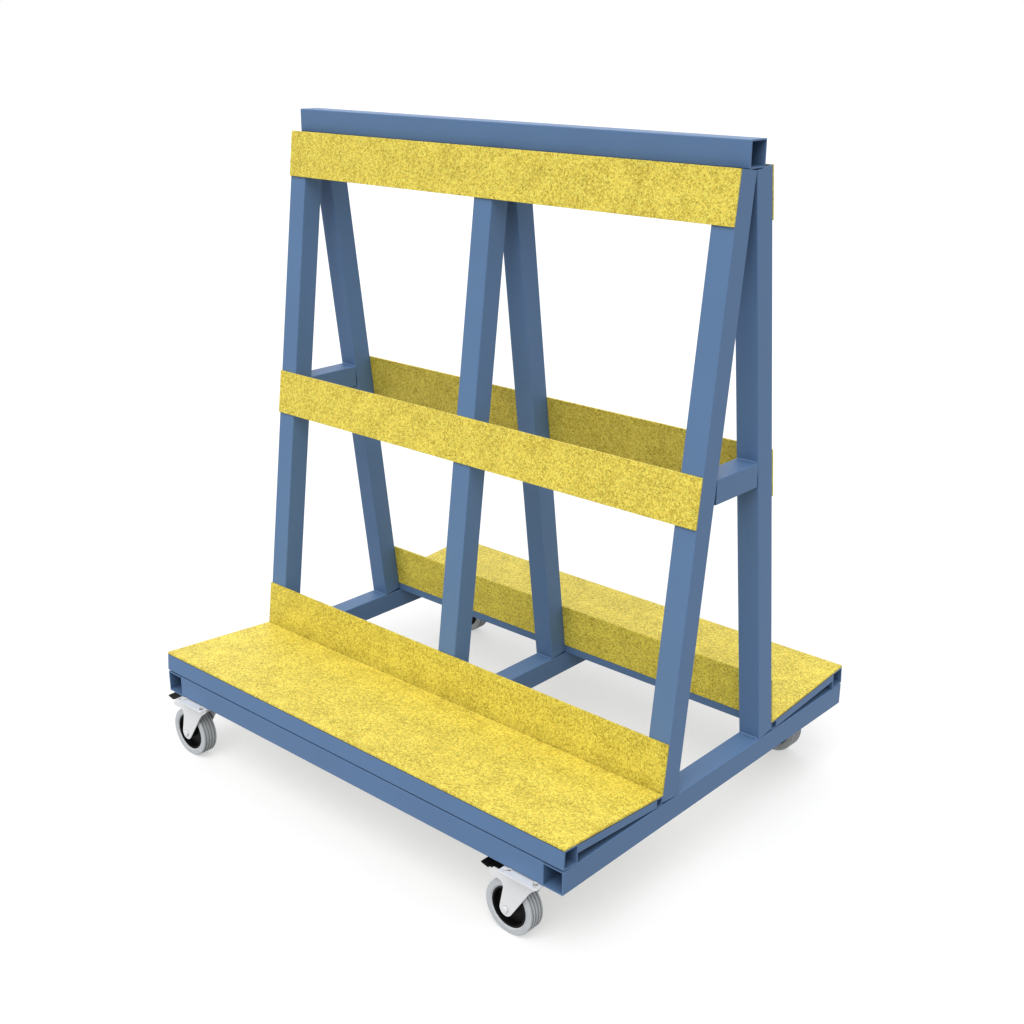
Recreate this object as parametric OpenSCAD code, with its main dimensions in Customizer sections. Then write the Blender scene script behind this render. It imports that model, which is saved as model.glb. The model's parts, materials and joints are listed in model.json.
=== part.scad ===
// Two-sided sheet goods cart: three A-frames on a wheeled base, with a sloped tray on each side.
// Millimetres. +X runs along the ridge, -Y is the front, +Z is up. The floor is at zero.

/* [Frame] */
// Length of the cart along the ridge, without the brake pedals
frame_length = 1200; // [900:10:2000]
// Length of each leg
leg_length = 1200; // [900:10:1500]
// Distance from the middle of the cart to the inner edge of a leg's foot
foot_offset = 150; // [100:5:180]
// Side of the square tube of the base, the legs, the crossbars and the ridge
frame_tube = 50; // [40:1:60]
// Wall of the frame tube
frame_wall = 3; // [2:0.5:5]
// Height of a crossbar's top above the base
crossbar_top = 635; // [300:5:750]

/* [Trays] */
// Width of a tray, from its inner tube's inner face to its outer tube's outer face
tray_width = 300; // [240:5:400]
// Thickness of a tray board
board_thick = 5; // [3:0.5:12]
// Side of the square tube under a tray's outer edge
outer_tube = 40; // [30:1:50]
// Wall of the outer tube
outer_wall = 3; // [2:0.5:4]
// Side of the square tube under a tray's inner edge, and of the end rails
inner_tube = 20; // [16:1:28]
// Wall of the inner tube and the end rails
inner_wall = 2; // [1:0.5:3]
// How far a tray's lower outer edge stands proud of the base
tray_overhang = 1; // [0:0.5:5]

/* [Lining] */
// Width of the top and middle lean strips
strip_width = 100; // [60:5:160]
// Thickness of the lean strips
strip_thick = 4; // [3:0.5:12]
// Distance of the middle strip's top edge from the foot, along the leg
middle_strip_top = 650; // [400:5:780]
// Distance of the bottom strip's top edge from the foot, along the leg
bottom_strip_top = 121.5; // [80:0.5:200]

/* [Casters] */
// Room between the top of a tyre and the underside of its fork's crown
wheel_clearance = 27.5; // [22:0.5:45]
// Distance of a swivel axis from the frame's end
caster_end_inset = 95; // [80:1:140]
// Distance of a swivel axis from the base's front or back
caster_side_inset = 28; // [25:1:60]
// Diameter of a wheel
wheel_d = 116; // [100:1:118]
// Width of a tyre
tyre_width = 36; // [30:1:44]
// Distance of the axle behind the swivel axis
caster_trail = 47; // [40:1:51]
// Side of a caster's square top plate
plate_side = 95; // [90:1:110]
// Thickness of a top plate
plate_thick = 3; // [2.5:0.5:5]
// Thickness of the fork's sheet
fork_thick = 2.5; // [2:0.5:3.5]
// Diameter of the axle bolt
axle_d = 8; // [6:1:8]

/* [Hidden] */
// Facets of a full circle; the circles are true arcs in the exact model
$fn = 48;
// Overrun of every cut past the face that it breaks through
cut = 1;
// Gap left where a tilted edge rests on a welded neighbour
weld_gap = 0.1;

// Tube corners: outer rounding, inner rounding and the steps that make each quarter turn
tube_corner = 2;
tube_inner_corner = 1;
corner_steps = 3;

// The caster's plate: corner rounding, and the diagonal slots, which stay empty on a welded plate
plate_corner = 7;
plate_corner_steps = 6;
slot_width = 9;
slot_run = 9;
slot_offset = 35;

// The ball race between plate and fork
race_height = 7;
ball_d = 6;
ball_count = 16;
race_r = 27.5;
race_ring_width = 7;
race_ring_height = 1.5;
race_gap = 0.1;
skirt_outer_r = 37;
skirt_wall = 2.5;
skirt_depth = 6;

// The king pin: shank, countersunk head and formed lower head
king_pin_r = 6;
king_head_r = 9;
king_foot_r = 12;
king_foot_height = 4.3;
running_gap = 0.05;
seat_gap = 0.05;
axial_gap = 0.2;

// The fork: crown disc, cheeks and nose
crown_r = 38;
crown_front = 39;
crown_back = 56;
cheek_side_gap = 4.5;
lobe_r = 15.5;
lobe_steps = 14;
fillet_steps = 6;
cheek_back_angle = 12.3;
cheek_front_angle = 32;
throat_start = [10, 29];
throat_mid = [17, 19];
throat_end = [30, 11];
nose_reach = 90;
nose_drop = 29;
nose_corner = 4;
nose_tip_drop = 20;
nose_top_drop = 8.5;
nose_top_back = 78.5;
nose_top_front = 66;
nose_root = [67, 29];
cheek_root = [53.8, 43];

// The wheel: tyre ring, shoulder and grooves, then the centre with its rim, web and hub
tyre_depth = 15;
bead_width_cut = 2;
bead_height = 3;
shoulder = 2.5;
groove_count = 4;
groove_width = 3.6;
groove_depth = 2;
bond_gap = 0.02;
rim_thick = 4;
rim_width_cut = 4;
web_r = 21;
web_thick = 12;
hub_r = 14;
hub_side_gap = 1;
sleeve_wall = 2;
bolt_gap = 0.1;

// The axle bolt: flat head with a rounded edge, and the nut with the thread end standing out
head_r = 6.5;
head_edge = 0.8;
head_height = 4.5;
nut_flats = 13;
nut_height = 6.5;
thread_out = 2;
hex_sides = 6;

// The brake: its pin, and the pedal's hub, arm, pad and shoe
pin_back = 61;
pin_drop = 16;
pin_r = 3;
pedal_hub_r = 8;
arm_side_gap = 2.5;
pad_gap = 2;
pad_long = 18.2;
pad_rise = 3.8;
pad_thick = 3;
pad_low_drop = 16.4;
arm_low = [69, 20];
shoe_gap = 2.3;
shoe_heel_gap = 7.4;
shoe_angle = 107.5;
shoe_heel_angle = 113.4;
shoe_front = [55, 22];

// Heights
caster_height = wheel_d + wheel_clearance + fork_thick + race_height + plate_thick;
base_bottom = caster_height;
base_top = base_bottom + frame_tube;

// Legs: the lean that brings the inner edges of a pair of tops together, and the foot's outer corner
lean = asin((foot_offset - weld_gap) / leg_length);
foot_outer_y = foot_offset + frame_tube * cos(lean);
foot_outer_z = frame_tube * sin(lean);
ridge_bottom = leg_length * cos(lean) + frame_tube / 2 * tan(lean) + weld_gap;

// Trays: both tubes rest on the base by their inner lower edges, which sets the slope
tray_tilt = atan((outer_tube - inner_tube) / (tray_width - outer_tube));
tray_z = (board_thick + inner_tube) * cos(tray_tilt) + weld_gap;
tray_y = foot_outer_y + weld_gap - (tray_z - foot_outer_z) * tan(tray_tilt);
tray_reach = tray_y + tray_width * cos(tray_tilt) + (board_thick + outer_tube) * sin(tray_tilt);
half_depth = tray_reach - tray_overhang;

// The bottom strip comes down to the inner tube, and the tray board ends at the strip's face
board_low_z = tray_z - board_thick * cos(tray_tilt);
strip_face_y = foot_outer_y + strip_thick / cos(lean) - (board_low_z - foot_outer_z) * tan(lean);
board_inset = (strip_face_y + weld_gap - board_thick * sin(tray_tilt) - tray_y) / cos(tray_tilt);
bottom_strip_low = (board_low_z + weld_gap - foot_outer_z) / cos(lean);

// Casters, in a frame with the swivel axis at zero and the floor at zero
wheel_r = wheel_d / 2;
crown_z = caster_height - plate_thick - race_height;
cheek_inner = tyre_width / 2 + cheek_side_gap;
cheek_outer = cheek_inner + fork_thick;
pin_z = crown_z - pin_drop;
pad_start = nose_reach + pad_gap;
pad_end = pad_start + pad_long;
pad_low = crown_z - pad_low_drop;
swivel_x = frame_length / 2 - caster_end_inset;
swivel_y = half_depth - caster_side_inset;

// The origin is under the middle of the whole cart, whose left pedals reach past the frame
frame_mid = (max(swivel_x + pad_end, frame_length / 2) - frame_length / 2) / 2;

// Places that repeat
ENDS = ["left", "middle", "right"];
SIDES = ["front", "back"];
CORNERS = ["front_left", "front_right", "back_left", "back_right"];
STRIPS = ["bottom", "middle", "top"];
frame_x = [-frame_length / 2, -frame_tube / 2, frame_length / 2 - frame_tube];
corner_x = [-swivel_x, swivel_x, -swivel_x, swivel_x];
corner_y = [-swivel_y, -swivel_y, swivel_y, swivel_y];
strip_low = [bottom_strip_low, middle_strip_top - strip_width, leg_length - strip_width];
strip_high = [bottom_strip_top, middle_strip_top, leg_length];

// Helpers

// Points of an arc about c, from angle a to angle b
function arc(c, r, a, b, steps) =
    [for (i = [0 : steps]) c + r * [cos(a + (b - a) * i / steps), sin(a + (b - a) * i / steps)]];

// Outline of a rectangle with rounded corners, its lower left corner at zero
function rounded_rect(w, h, r, steps) = concat(
    arc([w - r, h - r], r, 0, 90, steps), arc([r, h - r], r, 90, 180, steps),
    arc([r, r], r, 180, 270, steps), arc([w - r, r], r, 270, 360, steps)
);

// Points of a smooth bend from a to c that leans towards b
function bend(a, b, c, steps) =
    [for (i = [0 : steps]) let (t = i / steps) (1 - t) * (1 - t) * a + 2 * t * (1 - t) * b + t * t * c];

// Square tube along +Z, its section in the positive quarter
module square_tube(side, wall, long) {
    linear_extrude(height = long)
        difference() {
            polygon(rounded_rect(side, side, tube_corner, corner_steps));
            translate([wall, wall])
                polygon(rounded_rect(side - 2 * wall, side - 2 * wall, tube_inner_corner, corner_steps));
        }
}

// Square tube along +X
module tube_x(side, wall, long) {
    rotate([90, 0, 90])
        square_tube(side, wall, long);
}

// Square tube along +Y
module tube_y(side, wall, long) {
    translate([side, 0, 0])
        rotate([90, 0, 180])
            square_tube(side, wall, long);
}

// The children drawn for the front, or mirrored for the back
module on_side(s) {
    mirror([0, s, 0])
        children();
}

// The children in a leg's own frame: +Z up the leg, -Y outwards, zero at the foot's inner edge
module along_leg() {
    translate([frame_mid, -foot_offset, base_top + weld_gap])
        rotate([-lean, 0, 0])
            children();
}

// The children in a tray's own frame: -Y outwards along the board, zero at its upper inner edge
module in_tray() {
    translate([frame_mid, -tray_y, base_top + tray_z])
        rotate([-tray_tilt, 0, 0])
            children();
}

// The children in a caster's own frame: zero on the floor under the swivel axis, -Y outwards
module at_corner(c) {
    translate([frame_mid + corner_x[c], corner_y[c], 0])
        on_side(corner_y[c] > 0 ? 1 : 0)
            children();
}

// The children, drawn in a plane with X along the cart and Z up, made thick about the caster's middle
module across(from, to) {
    translate([0, to, 0])
        rotate([90, 0, 0])
            linear_extrude(height = to - from)
                children();
}

// The children, turned about the axle from a half section with radius along X and width along Y
module about_axle() {
    translate([-caster_trail, 0, wheel_r])
        rotate([90, 0, 0])
            rotate_extrude()
                children();
}

// Frame

module base_cross(e) {
    inset = e == 1 ? frame_tube + weld_gap : 0;
    color("steelblue")
        translate([frame_mid + frame_x[e], inset - half_depth, base_bottom])
            tube_y(frame_tube, frame_wall, 2 * (half_depth - inset));
}

module base_long(s) {
    color("steelblue")
        on_side(s)
            translate([frame_mid - frame_length / 2 + frame_tube, -half_depth, base_bottom])
                tube_x(frame_tube, frame_wall, frame_length - 2 * frame_tube);
}

module leg(s, e) {
    color("steelblue")
        on_side(s)
            along_leg()
                translate([frame_x[e], -frame_tube, 0])
                    square_tube(frame_tube, frame_wall, leg_length);
}

module crossbar(e) {
    half_span = foot_offset - crossbar_top * tan(lean) - weld_gap;
    color("steelblue")
        translate([frame_mid + frame_x[e], -half_span, base_top + crossbar_top - frame_tube])
            tube_y(frame_tube, frame_wall, 2 * half_span);
}

module ridge() {
    color("steelblue")
        translate([frame_mid - frame_length / 2, -frame_tube / 2, base_top + ridge_bottom])
            tube_x(frame_tube, frame_wall, frame_length);
}

// Trays

module tray_outer(s) {
    color("steelblue")
        on_side(s)
            in_tray()
                translate([-frame_length / 2, -tray_width, -board_thick - outer_tube])
                    tube_x(outer_tube, outer_wall, frame_length);
}

module tray_inner(s) {
    color("steelblue")
        on_side(s)
            in_tray()
                translate([-frame_length / 2, -inner_tube, -board_thick - inner_tube])
                    tube_x(inner_tube, inner_wall, frame_length);
}

module tray_rails(s) {
    rail_long = tray_width - outer_tube - inner_tube;
    color("steelblue")
        on_side(s)
            in_tray()
                for (x = [-frame_length / 2, frame_length / 2 - inner_tube])
                    translate([x, outer_tube - tray_width, -board_thick - inner_tube])
                        tube_y(inner_tube, inner_wall, rail_long);
}

module tray_board(s) {
    color("gold")
        on_side(s)
            in_tray()
                translate([-frame_length / 2, -tray_width, -board_thick])
                    cube([frame_length, tray_width - board_inset, board_thick]);
}

module lean_strip(s, n) {
    color("gold")
        on_side(s)
            along_leg()
                translate([-frame_length / 2, -frame_tube - strip_thick, strip_low[n]])
                    cube([frame_length, strip_thick, strip_high[n] - strip_low[n]]);
}

// Casters: what is fixed under the base

module slot_outline() {
    for (x = [-slot_run / 2, slot_run / 2])
        translate([x, 0])
            circle(d = slot_width);
    translate([-slot_run / 2, -slot_width / 2])
        square([slot_run, slot_width]);
}

module plate(c) {
    plate_z = caster_height - plate_thick;
    color("gainsboro")
        at_corner(c) {
            difference() {
                translate([0, 0, plate_z])
                    linear_extrude(height = plate_thick)
                        difference() {
                            translate([-plate_side / 2, -plate_side / 2])
                                polygon(rounded_rect(plate_side, plate_side, plate_corner,
                                    plate_corner_steps));
                            for (x = [-1, 1], y = [-1, 1])
                                translate([x * slot_offset, y * slot_offset])
                                    rotate(x * y * 45)
                                        slot_outline();
                        }
                translate([0, 0, plate_z - cut])
                    cylinder(r = king_pin_r + seat_gap, h = plate_thick + 2 * cut);
                translate([0, 0, plate_z])
                    cylinder(r1 = king_pin_r + seat_gap, r2 = king_head_r + seat_gap, h = plate_thick);
            }
            translate([0, 0, plate_z - skirt_depth])
                difference() {
                    cylinder(r = skirt_outer_r, h = skirt_depth);
                    translate([0, 0, -cut])
                        cylinder(r = skirt_outer_r - skirt_wall, h = skirt_depth + cut);
                }
        }
}

module king_pins() {
    foot_top = crown_z - fork_thick - axial_gap;
    color("silver")
        for (c = [0 : 3])
            at_corner(c) {
                translate([0, 0, foot_top - king_foot_height])
                    cylinder(r = king_foot_r, h = king_foot_height);
                translate([0, 0, foot_top - king_foot_height])
                    cylinder(r = king_pin_r, h = caster_height - foot_top + king_foot_height);
                translate([0, 0, caster_height - plate_thick])
                    cylinder(r1 = king_pin_r, r2 = king_head_r, h = plate_thick);
            }
}

module race_balls() {
    color("silver")
        for (c = [0 : 3])
            at_corner(c)
                for (i = [0 : ball_count - 1])
                    rotate(i * 360 / ball_count)
                        translate([race_r, 0, caster_height - plate_thick - race_gap - ball_d / 2])
                            sphere(d = ball_d);
}

// Casters: what swivels

// Outline of one cheek with its nose, in a plane with X along the caster and Z up
function cheek_outline() = concat(
    arc([-caster_trail, wheel_r], lobe_r, 180 - cheek_back_angle, 360 - cheek_front_angle, lobe_steps),
    bend([throat_start.x, crown_z - throat_start.y], [throat_mid.x, crown_z - throat_mid.y],
        [throat_end.x, crown_z - throat_end.y], fillet_steps),
    [[crown_front, crown_z - fork_thick], [crown_front, crown_z], [-crown_back, crown_z]],
    [[-nose_top_front, crown_z - nose_top_drop], [-nose_top_back, crown_z - nose_top_drop]],
    [[-nose_reach, crown_z - nose_tip_drop]],
    arc([nose_corner - nose_reach, crown_z - nose_drop + nose_corner], nose_corner, 180, 270,
        fillet_steps),
    bend([-nose_root.x, crown_z - nose_root.y], [-cheek_root.x, crown_z - nose_root.y],
        [-cheek_root.x, crown_z - cheek_root.y], fillet_steps)
);

module fork(c) {
    bore_r = axle_d / 2 + bolt_gap;
    color("gainsboro")
        at_corner(c) {
            difference() {
                union() {
                    across(-cheek_outer, -cheek_inner)
                        polygon(cheek_outline());
                    across(cheek_inner, cheek_outer)
                        polygon(cheek_outline());
                    translate([0, 0, crown_z - fork_thick]) {
                        translate([-crown_back, -cheek_outer, 0])
                            cube([crown_back + crown_front, 2 * cheek_outer, fork_thick]);
                        cylinder(r = crown_r, h = fork_thick);
                    }
                    translate([0, 0, crown_z - fork_thick])
                        cylinder(r = race_r + race_ring_width / 2, h = fork_thick + race_ring_height);
                }
                translate([-caster_trail, cheek_outer + cut, wheel_r])
                    rotate([90, 0, 0])
                        cylinder(r = bore_r, h = 2 * (cheek_outer + cut));
                translate([-pin_back, cheek_outer + cut, pin_z])
                    rotate([90, 0, 0])
                        cylinder(r = pin_r + seat_gap, h = 2 * (cheek_outer + cut));
                translate([0, 0, crown_z - fork_thick - cut])
                    cylinder(r = king_pin_r + running_gap, h = fork_thick + race_ring_height + 2 * cut);
                translate([0, 0, crown_z])
                    cylinder(r = race_r - race_ring_width / 2, h = race_ring_height + cut);
                translate([0, 0, caster_height - plate_thick - race_gap - ball_d / 2])
                    rotate_extrude()
                        translate([race_r, 0])
                            circle(r = ball_d / 2 + race_gap);
            }
        }
}

// The axle bolt, its nut and the brake pin
module axle(c) {
    color("silver")
        at_corner(c) {
            translate([-caster_trail, cheek_outer, wheel_r])
                rotate([90, 0, 0]) {
                    translate([0, 0, -nut_height - thread_out])
                        cylinder(d = axle_d, h = 2 * cheek_outer + nut_height + thread_out + head_edge);
                    translate([0, 0, 2 * cheek_outer])
                        rotate_extrude()
                            polygon(concat([[0, 0], [head_r, 0]], arc([head_r - head_edge,
                                head_height - head_edge], head_edge, 0, 90, corner_steps),
                                [[0, head_height]]));
                }
            translate([-pin_back, cheek_outer, pin_z])
                rotate([90, 0, 0])
                    cylinder(r = pin_r, h = 2 * cheek_outer);
            translate([-caster_trail, cheek_outer + nut_height, wheel_r])
                rotate([90, 0, 0])
                    difference() {
                        cylinder(d = nut_flats / cos(180 / hex_sides), h = nut_height, $fn = hex_sides);
                        translate([0, 0, -cut])
                            cylinder(r = axle_d / 2 + bond_gap, h = nut_height + 2 * cut);
                    }
        }
}

module sleeve(c) {
    color("silver")
        at_corner(c)
            translate([-caster_trail, cheek_inner, wheel_r])
                rotate([90, 0, 0])
                    difference() {
                        cylinder(r = axle_d / 2 + bolt_gap + sleeve_wall, h = 2 * cheek_inner);
                        translate([0, 0, -cut])
                            cylinder(r = axle_d / 2 + bolt_gap, h = 2 * (cheek_inner + cut));
                    }
}

// Casters: what rolls

module wheel_centre(c) {
    bore = axle_d / 2 + bolt_gap + sleeve_wall + running_gap;
    rim = wheel_r - tyre_depth;
    rim_half = tyre_width / 2 - rim_width_cut / 2;
    hub_half = cheek_inner - hub_side_gap;
    color("dimgray")
        at_corner(c)
            about_axle()
                polygon([
                    [bore, -hub_half], [hub_r, -hub_half], [hub_r, -web_thick / 2],
                    [web_r, -web_thick / 2], [rim - rim_thick, -web_thick / 4],
                    [rim - rim_thick, -rim_half], [rim, -rim_half], [rim, rim_half],
                    [rim - rim_thick, rim_half], [rim - rim_thick, web_thick / 4],
                    [web_r, web_thick / 2], [hub_r, web_thick / 2], [hub_r, hub_half], [bore, hub_half]
                ]);
}

module tyre(c) {
    rim = wheel_r - tyre_depth + bond_gap;
    half = tyre_width / 2;
    pitch = (tyre_width - 2 * shoulder) / groove_count;
    outermost = (groove_count - 1) / 2;
    color("lightgray")
        at_corner(c)
            about_axle()
                difference() {
                    polygon(concat(
                        [[rim, bead_width_cut - half], [rim + bead_height, -half]],
                        arc([wheel_r - shoulder, shoulder - half], shoulder, -90, 0, corner_steps),
                        arc([wheel_r - shoulder, half - shoulder], shoulder, 0, 90, corner_steps),
                        [[rim + bead_height, half], [rim, half - bead_width_cut]]
                    ));
                    for (i = [-outermost : outermost])
                        translate([wheel_r - groove_depth, i * pitch - groove_width / 2])
                            square([groove_depth + cut, groove_width]);
                }
}

// Casters: the brake

module pedal(c) {
    arm_half = cheek_inner - arm_side_gap;
    axle_at = [-caster_trail, wheel_r];
    pin_at = [-pin_back, pin_z];
    shoe_tip = axle_at + (wheel_r + shoe_gap) * [cos(shoe_angle), sin(shoe_angle)];
    shoe_heel = axle_at + (wheel_r + shoe_heel_gap) * [cos(shoe_heel_angle), sin(shoe_heel_angle)];
    color("dimgray")
        at_corner(c) {
            difference() {
                union() {
                    across(-arm_half, arm_half) {
                        translate(pin_at)
                            circle(r = pedal_hub_r);
                        polygon([
                            [-pad_start, pad_low], [-arm_low.x, crown_z - arm_low.y], shoe_heel,
                            shoe_tip, [-shoe_front.x, crown_z - shoe_front.y], pin_at,
                            pin_at + [0, pedal_hub_r], [-pad_start, pad_low + pad_thick]
                        ]);
                    }
                    across(-cheek_outer, cheek_outer)
                        polygon([
                            [-pad_start, pad_low], [-pad_start, pad_low + pad_thick],
                            [-pad_end, pad_low + pad_rise + pad_thick], [-pad_end, pad_low + pad_rise]
                        ]);
                }
                translate([-pin_back, cheek_outer, pin_z])
                    rotate([90, 0, 0])
                        cylinder(r = pin_r + running_gap, h = 2 * cheek_outer);
            }
        }
}

// The part, one node at a time or all together

base_long(0);  // base_front
base_long(1);  // base_back
crossbar(0);  // crossbar_left
crossbar(2);  // crossbar_right
ridge();
king_pins();
race_balls();

for (e = [0 : 2]) {
    base_cross(e);
    leg(0, e);
    leg(1, e);
    lean_strip(0, e);
    lean_strip(1, e);
}

for (s = [0 : 1]) {
    tray_outer(s);
    tray_inner(s);
    tray_rails(s);
    tray_board(s);
}

for (c = [0 : 3]) {
    plate(c);
    fork(c);
    axle(c);
    sleeve(c);
    wheel_centre(c);
    tyre(c);
    pedal(c);
}
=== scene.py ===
"""Sheet goods cart: the finishes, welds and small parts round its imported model, and a plain studio.

Metres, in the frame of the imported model: +X along the ridge, -Y the front, +Z up, floor at zero.
"""

import json
import math

import bmesh
import bpy
import numpy as np
from mathutils import Matrix, Vector


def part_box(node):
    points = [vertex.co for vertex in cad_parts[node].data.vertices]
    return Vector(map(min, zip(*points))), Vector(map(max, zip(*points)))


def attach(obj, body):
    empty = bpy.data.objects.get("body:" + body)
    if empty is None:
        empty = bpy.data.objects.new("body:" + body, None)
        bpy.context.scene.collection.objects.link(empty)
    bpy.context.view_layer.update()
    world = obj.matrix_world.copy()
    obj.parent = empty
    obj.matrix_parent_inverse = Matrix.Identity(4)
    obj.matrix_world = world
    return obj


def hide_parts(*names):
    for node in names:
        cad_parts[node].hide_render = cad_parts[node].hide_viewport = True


bl_info = {
    "name": "Sheet goods cart",
    "version": (1, 0, 0),
    "blender": (4, 5, 0),
    "location": "3D View > Sidebar > Cart",
    "description": "Finishes, welds and small parts of a sheet goods cart, with a plain studio",
    "category": "Object",
}

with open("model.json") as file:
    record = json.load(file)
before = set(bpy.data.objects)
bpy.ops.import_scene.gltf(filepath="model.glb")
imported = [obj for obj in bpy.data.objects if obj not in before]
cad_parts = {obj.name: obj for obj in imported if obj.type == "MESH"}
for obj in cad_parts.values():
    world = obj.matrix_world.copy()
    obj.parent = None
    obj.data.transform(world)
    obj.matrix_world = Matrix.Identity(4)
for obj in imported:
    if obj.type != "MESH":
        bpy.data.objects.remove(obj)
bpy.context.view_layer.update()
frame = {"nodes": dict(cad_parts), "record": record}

MM = 0.001
ENDS = ("left", "middle", "right")

# The sign of Y on each side of the cart
WAY_OUT = {"front": -1, "back": 1}

# Points of a mesh that are closer than this are one point
MERGE = 0.01 * MM

# A colour Mix node has several sockets of one name, so its two colours and its result go by number
COLOUR_A, COLOUR_B, MIXED = 6, 7, 2

# The camera of the photograph, fitted to the cart's own edges
IMAGE_SIDE = 1024
FOCAL_PIXELS = 1365.6
SENSOR_WIDTH = 36.0
CAMERA_AT = Vector((1.9193, -2.1178, 1.6444))
CAMERA_AIM = Vector((0.0437, -0.0093, 0.6249))
CAMERA_ROLL = math.radians(0.271)
NEAREST, FURTHEST = 0.05, 200

# The lamps: where each comes from, and how wide it looks from the cart
KEY_FROM, KEY_WIDTH = Vector((0.22, -0.56, 0.8)), math.radians(50)
FILL_FROM, FILL_WIDTH = Vector((-0.8, 0.5, 0.35)), math.radians(70)
LAMP_AWAY = 5


def linear(hex_colour):
    """An sRGB hex colour as linear red, green and blue."""
    srgb = [int(hex_colour[i:i + 2], 16) / 255 for i in (1, 3, 5)]
    return [v / 12.92 if v <= 0.04045 else ((v + 0.055) / 1.055) ** 2.4 for v in srgb]


# What a user would change


class CartFinishes(bpy.types.PropertyGroup):
    """Colours and grain of the cart's finishes."""

    coat: bpy.props.FloatVectorProperty(
        name="Powder coat", description="Colour of the coat on the steel tubes",
        subtype="COLOR", size=3, min=0, max=1, default=linear("#5E7DA5"))
    board: bpy.props.FloatVectorProperty(
        name="Lining board", description="Usual colour of the dyed chips",
        subtype="COLOR", size=3, min=0, max=1, default=linear("#E2C947"))
    # The low board's deeper colour is painted shade of the corner where the low strips meet the tray
    # boards
    shaded_low_board: bpy.props.FloatVectorProperty(
        name="Low board", description="Deeper colour of the strips that the sheets' feet rub",
        subtype="COLOR", size=3, min=0, max=1, default=linear("#D0BC3F"))
    zinc: bpy.props.FloatVectorProperty(
        name="Zinc plate", description="Colour of the plated caster steel",
        subtype="COLOR", size=3, min=0, max=1, default=linear("#E9EAEC"))
    tyre: bpy.props.FloatVectorProperty(
        name="Tyre", description="Colour of the grey rubber",
        subtype="COLOR", size=3, min=0, max=1, default=linear("#C6CACE"))
    plastic: bpy.props.FloatVectorProperty(
        name="Black", description="Colour of the wheel centres, the brake pedals and the adhesive",
        subtype="COLOR", size=3, min=0, max=1, default=linear("#0E0E0F"))
    chip: bpy.props.FloatProperty(
        name="Chip", description="Usual width of a chip in the lining board",
        unit="LENGTH", min=1 * MM, max=20 * MM, default=3.4 * MM)
    board_edge: bpy.props.FloatProperty(
        name="Board edge", description="Rounding of the edges of the lining boards",
        unit="LENGTH", min=0.1 * MM, max=2 * MM, default=0.7 * MM)
    pressed_edge: bpy.props.FloatProperty(
        name="Pressed edge", description="Rounding of the edges of the casters' plates, forks and pedals",
        unit="LENGTH", min=0.1 * MM, max=1 * MM, default=0.4 * MM)
    tube_corner: bpy.props.FloatProperty(
        name="Tube corner", description="Rounding of the tubes' edges, which the adhesive fills",
        unit="LENGTH", min=0.5 * MM, max=4 * MM, default=2 * MM)
    wiped: bpy.props.FloatProperty(
        name="Wiped back", description="How far the adhesive stays behind a tube's face",
        unit="LENGTH", min=0.01 * MM, max=0.5 * MM, default=0.05 * MM)


class CartWelds(bpy.types.PropertyGroup):
    """Sizes of the fillet welds."""

    leg: bpy.props.FloatProperty(
        name="Leg of a bead", description="How far a bead reaches along each face from the seam",
        unit="LENGTH", min=1 * MM, max=8 * MM, default=2.8 * MM)
    ripple: bpy.props.FloatProperty(
        name="Ripple", description="Distance between the ripples of a bead",
        unit="LENGTH", min=1 * MM, max=8 * MM, default=2.8 * MM)
    stop: bpy.props.FloatProperty(
        name="Stop", description="How far a bead stops short of a tube's rounded corner",
        unit="LENGTH", min=0, max=10 * MM, default=2.5 * MM)
    stitch: bpy.props.FloatProperty(
        name="Stitch", description="Length of a stitch under a tray's outer tube",
        unit="LENGTH", min=10 * MM, max=100 * MM, default=40 * MM)
    stitches: bpy.props.IntProperty(
        name="Stitches", description="Stitches under a tray's outer tube", min=2, max=12, default=5)


class CartStudio(bpy.types.PropertyGroup):
    """Levels of the studio's light."""

    sky: bpy.props.FloatProperty(
        name="Sky", description="Level of the even light from all round", min=0, max=2, default=0.62)
    key: bpy.props.FloatProperty(
        name="Key", description="Level that the key lamp gives a face turned to it",
        min=0, max=2, default=0.64)
    fill: bpy.props.FloatProperty(
        name="Fill", description="Level that the fill lamp gives a face turned to it",
        min=0, max=2, default=0.24)


# Nodes of a material


def add(tree, kind, sockets=None, **settings):
    """Adds one node with its settings, and sets or links its inputs; returns the node."""
    node = tree.nodes.new(kind)
    for name, value in settings.items():
        setattr(node, name, value)
    for name, value in (sockets or {}).items():
        if isinstance(value, bpy.types.NodeSocket):
            tree.links.new(value, node.inputs[name])
        else:
            node.inputs[name].default_value = value
    return node


def start_material(name):
    """A new empty material; returns it, its node tree and the Object coordinates."""
    material = bpy.data.materials.new(name)
    material.use_nodes = True
    tree = material.node_tree
    tree.nodes.clear()
    return material, tree, add(tree, "ShaderNodeTexCoord").outputs["Object"]


def finish_material(tree, sockets):
    """Closes a material with one Principled shader."""
    shader = add(tree, "ShaderNodeBsdfPrincipled", sockets)
    add(tree, "ShaderNodeOutputMaterial", {"Surface": shader.outputs["BSDF"]})


def grey(level):
    """A grey, as the four values of a socket."""
    return (level, level, level, 1)


def shade(colour, factor, blue=1.0):
    """A linear colour made lighter or darker, as the four values of a socket.

    Below 1, blue makes it a warmer yellow, and above 1 a paler one; green follows a little.
    """
    green_follows = 0.12
    scales = factor, factor * blue ** green_follows, factor * blue
    return [min(1, v * scale) for v, scale in zip(colour, scales)] + [1]


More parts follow.
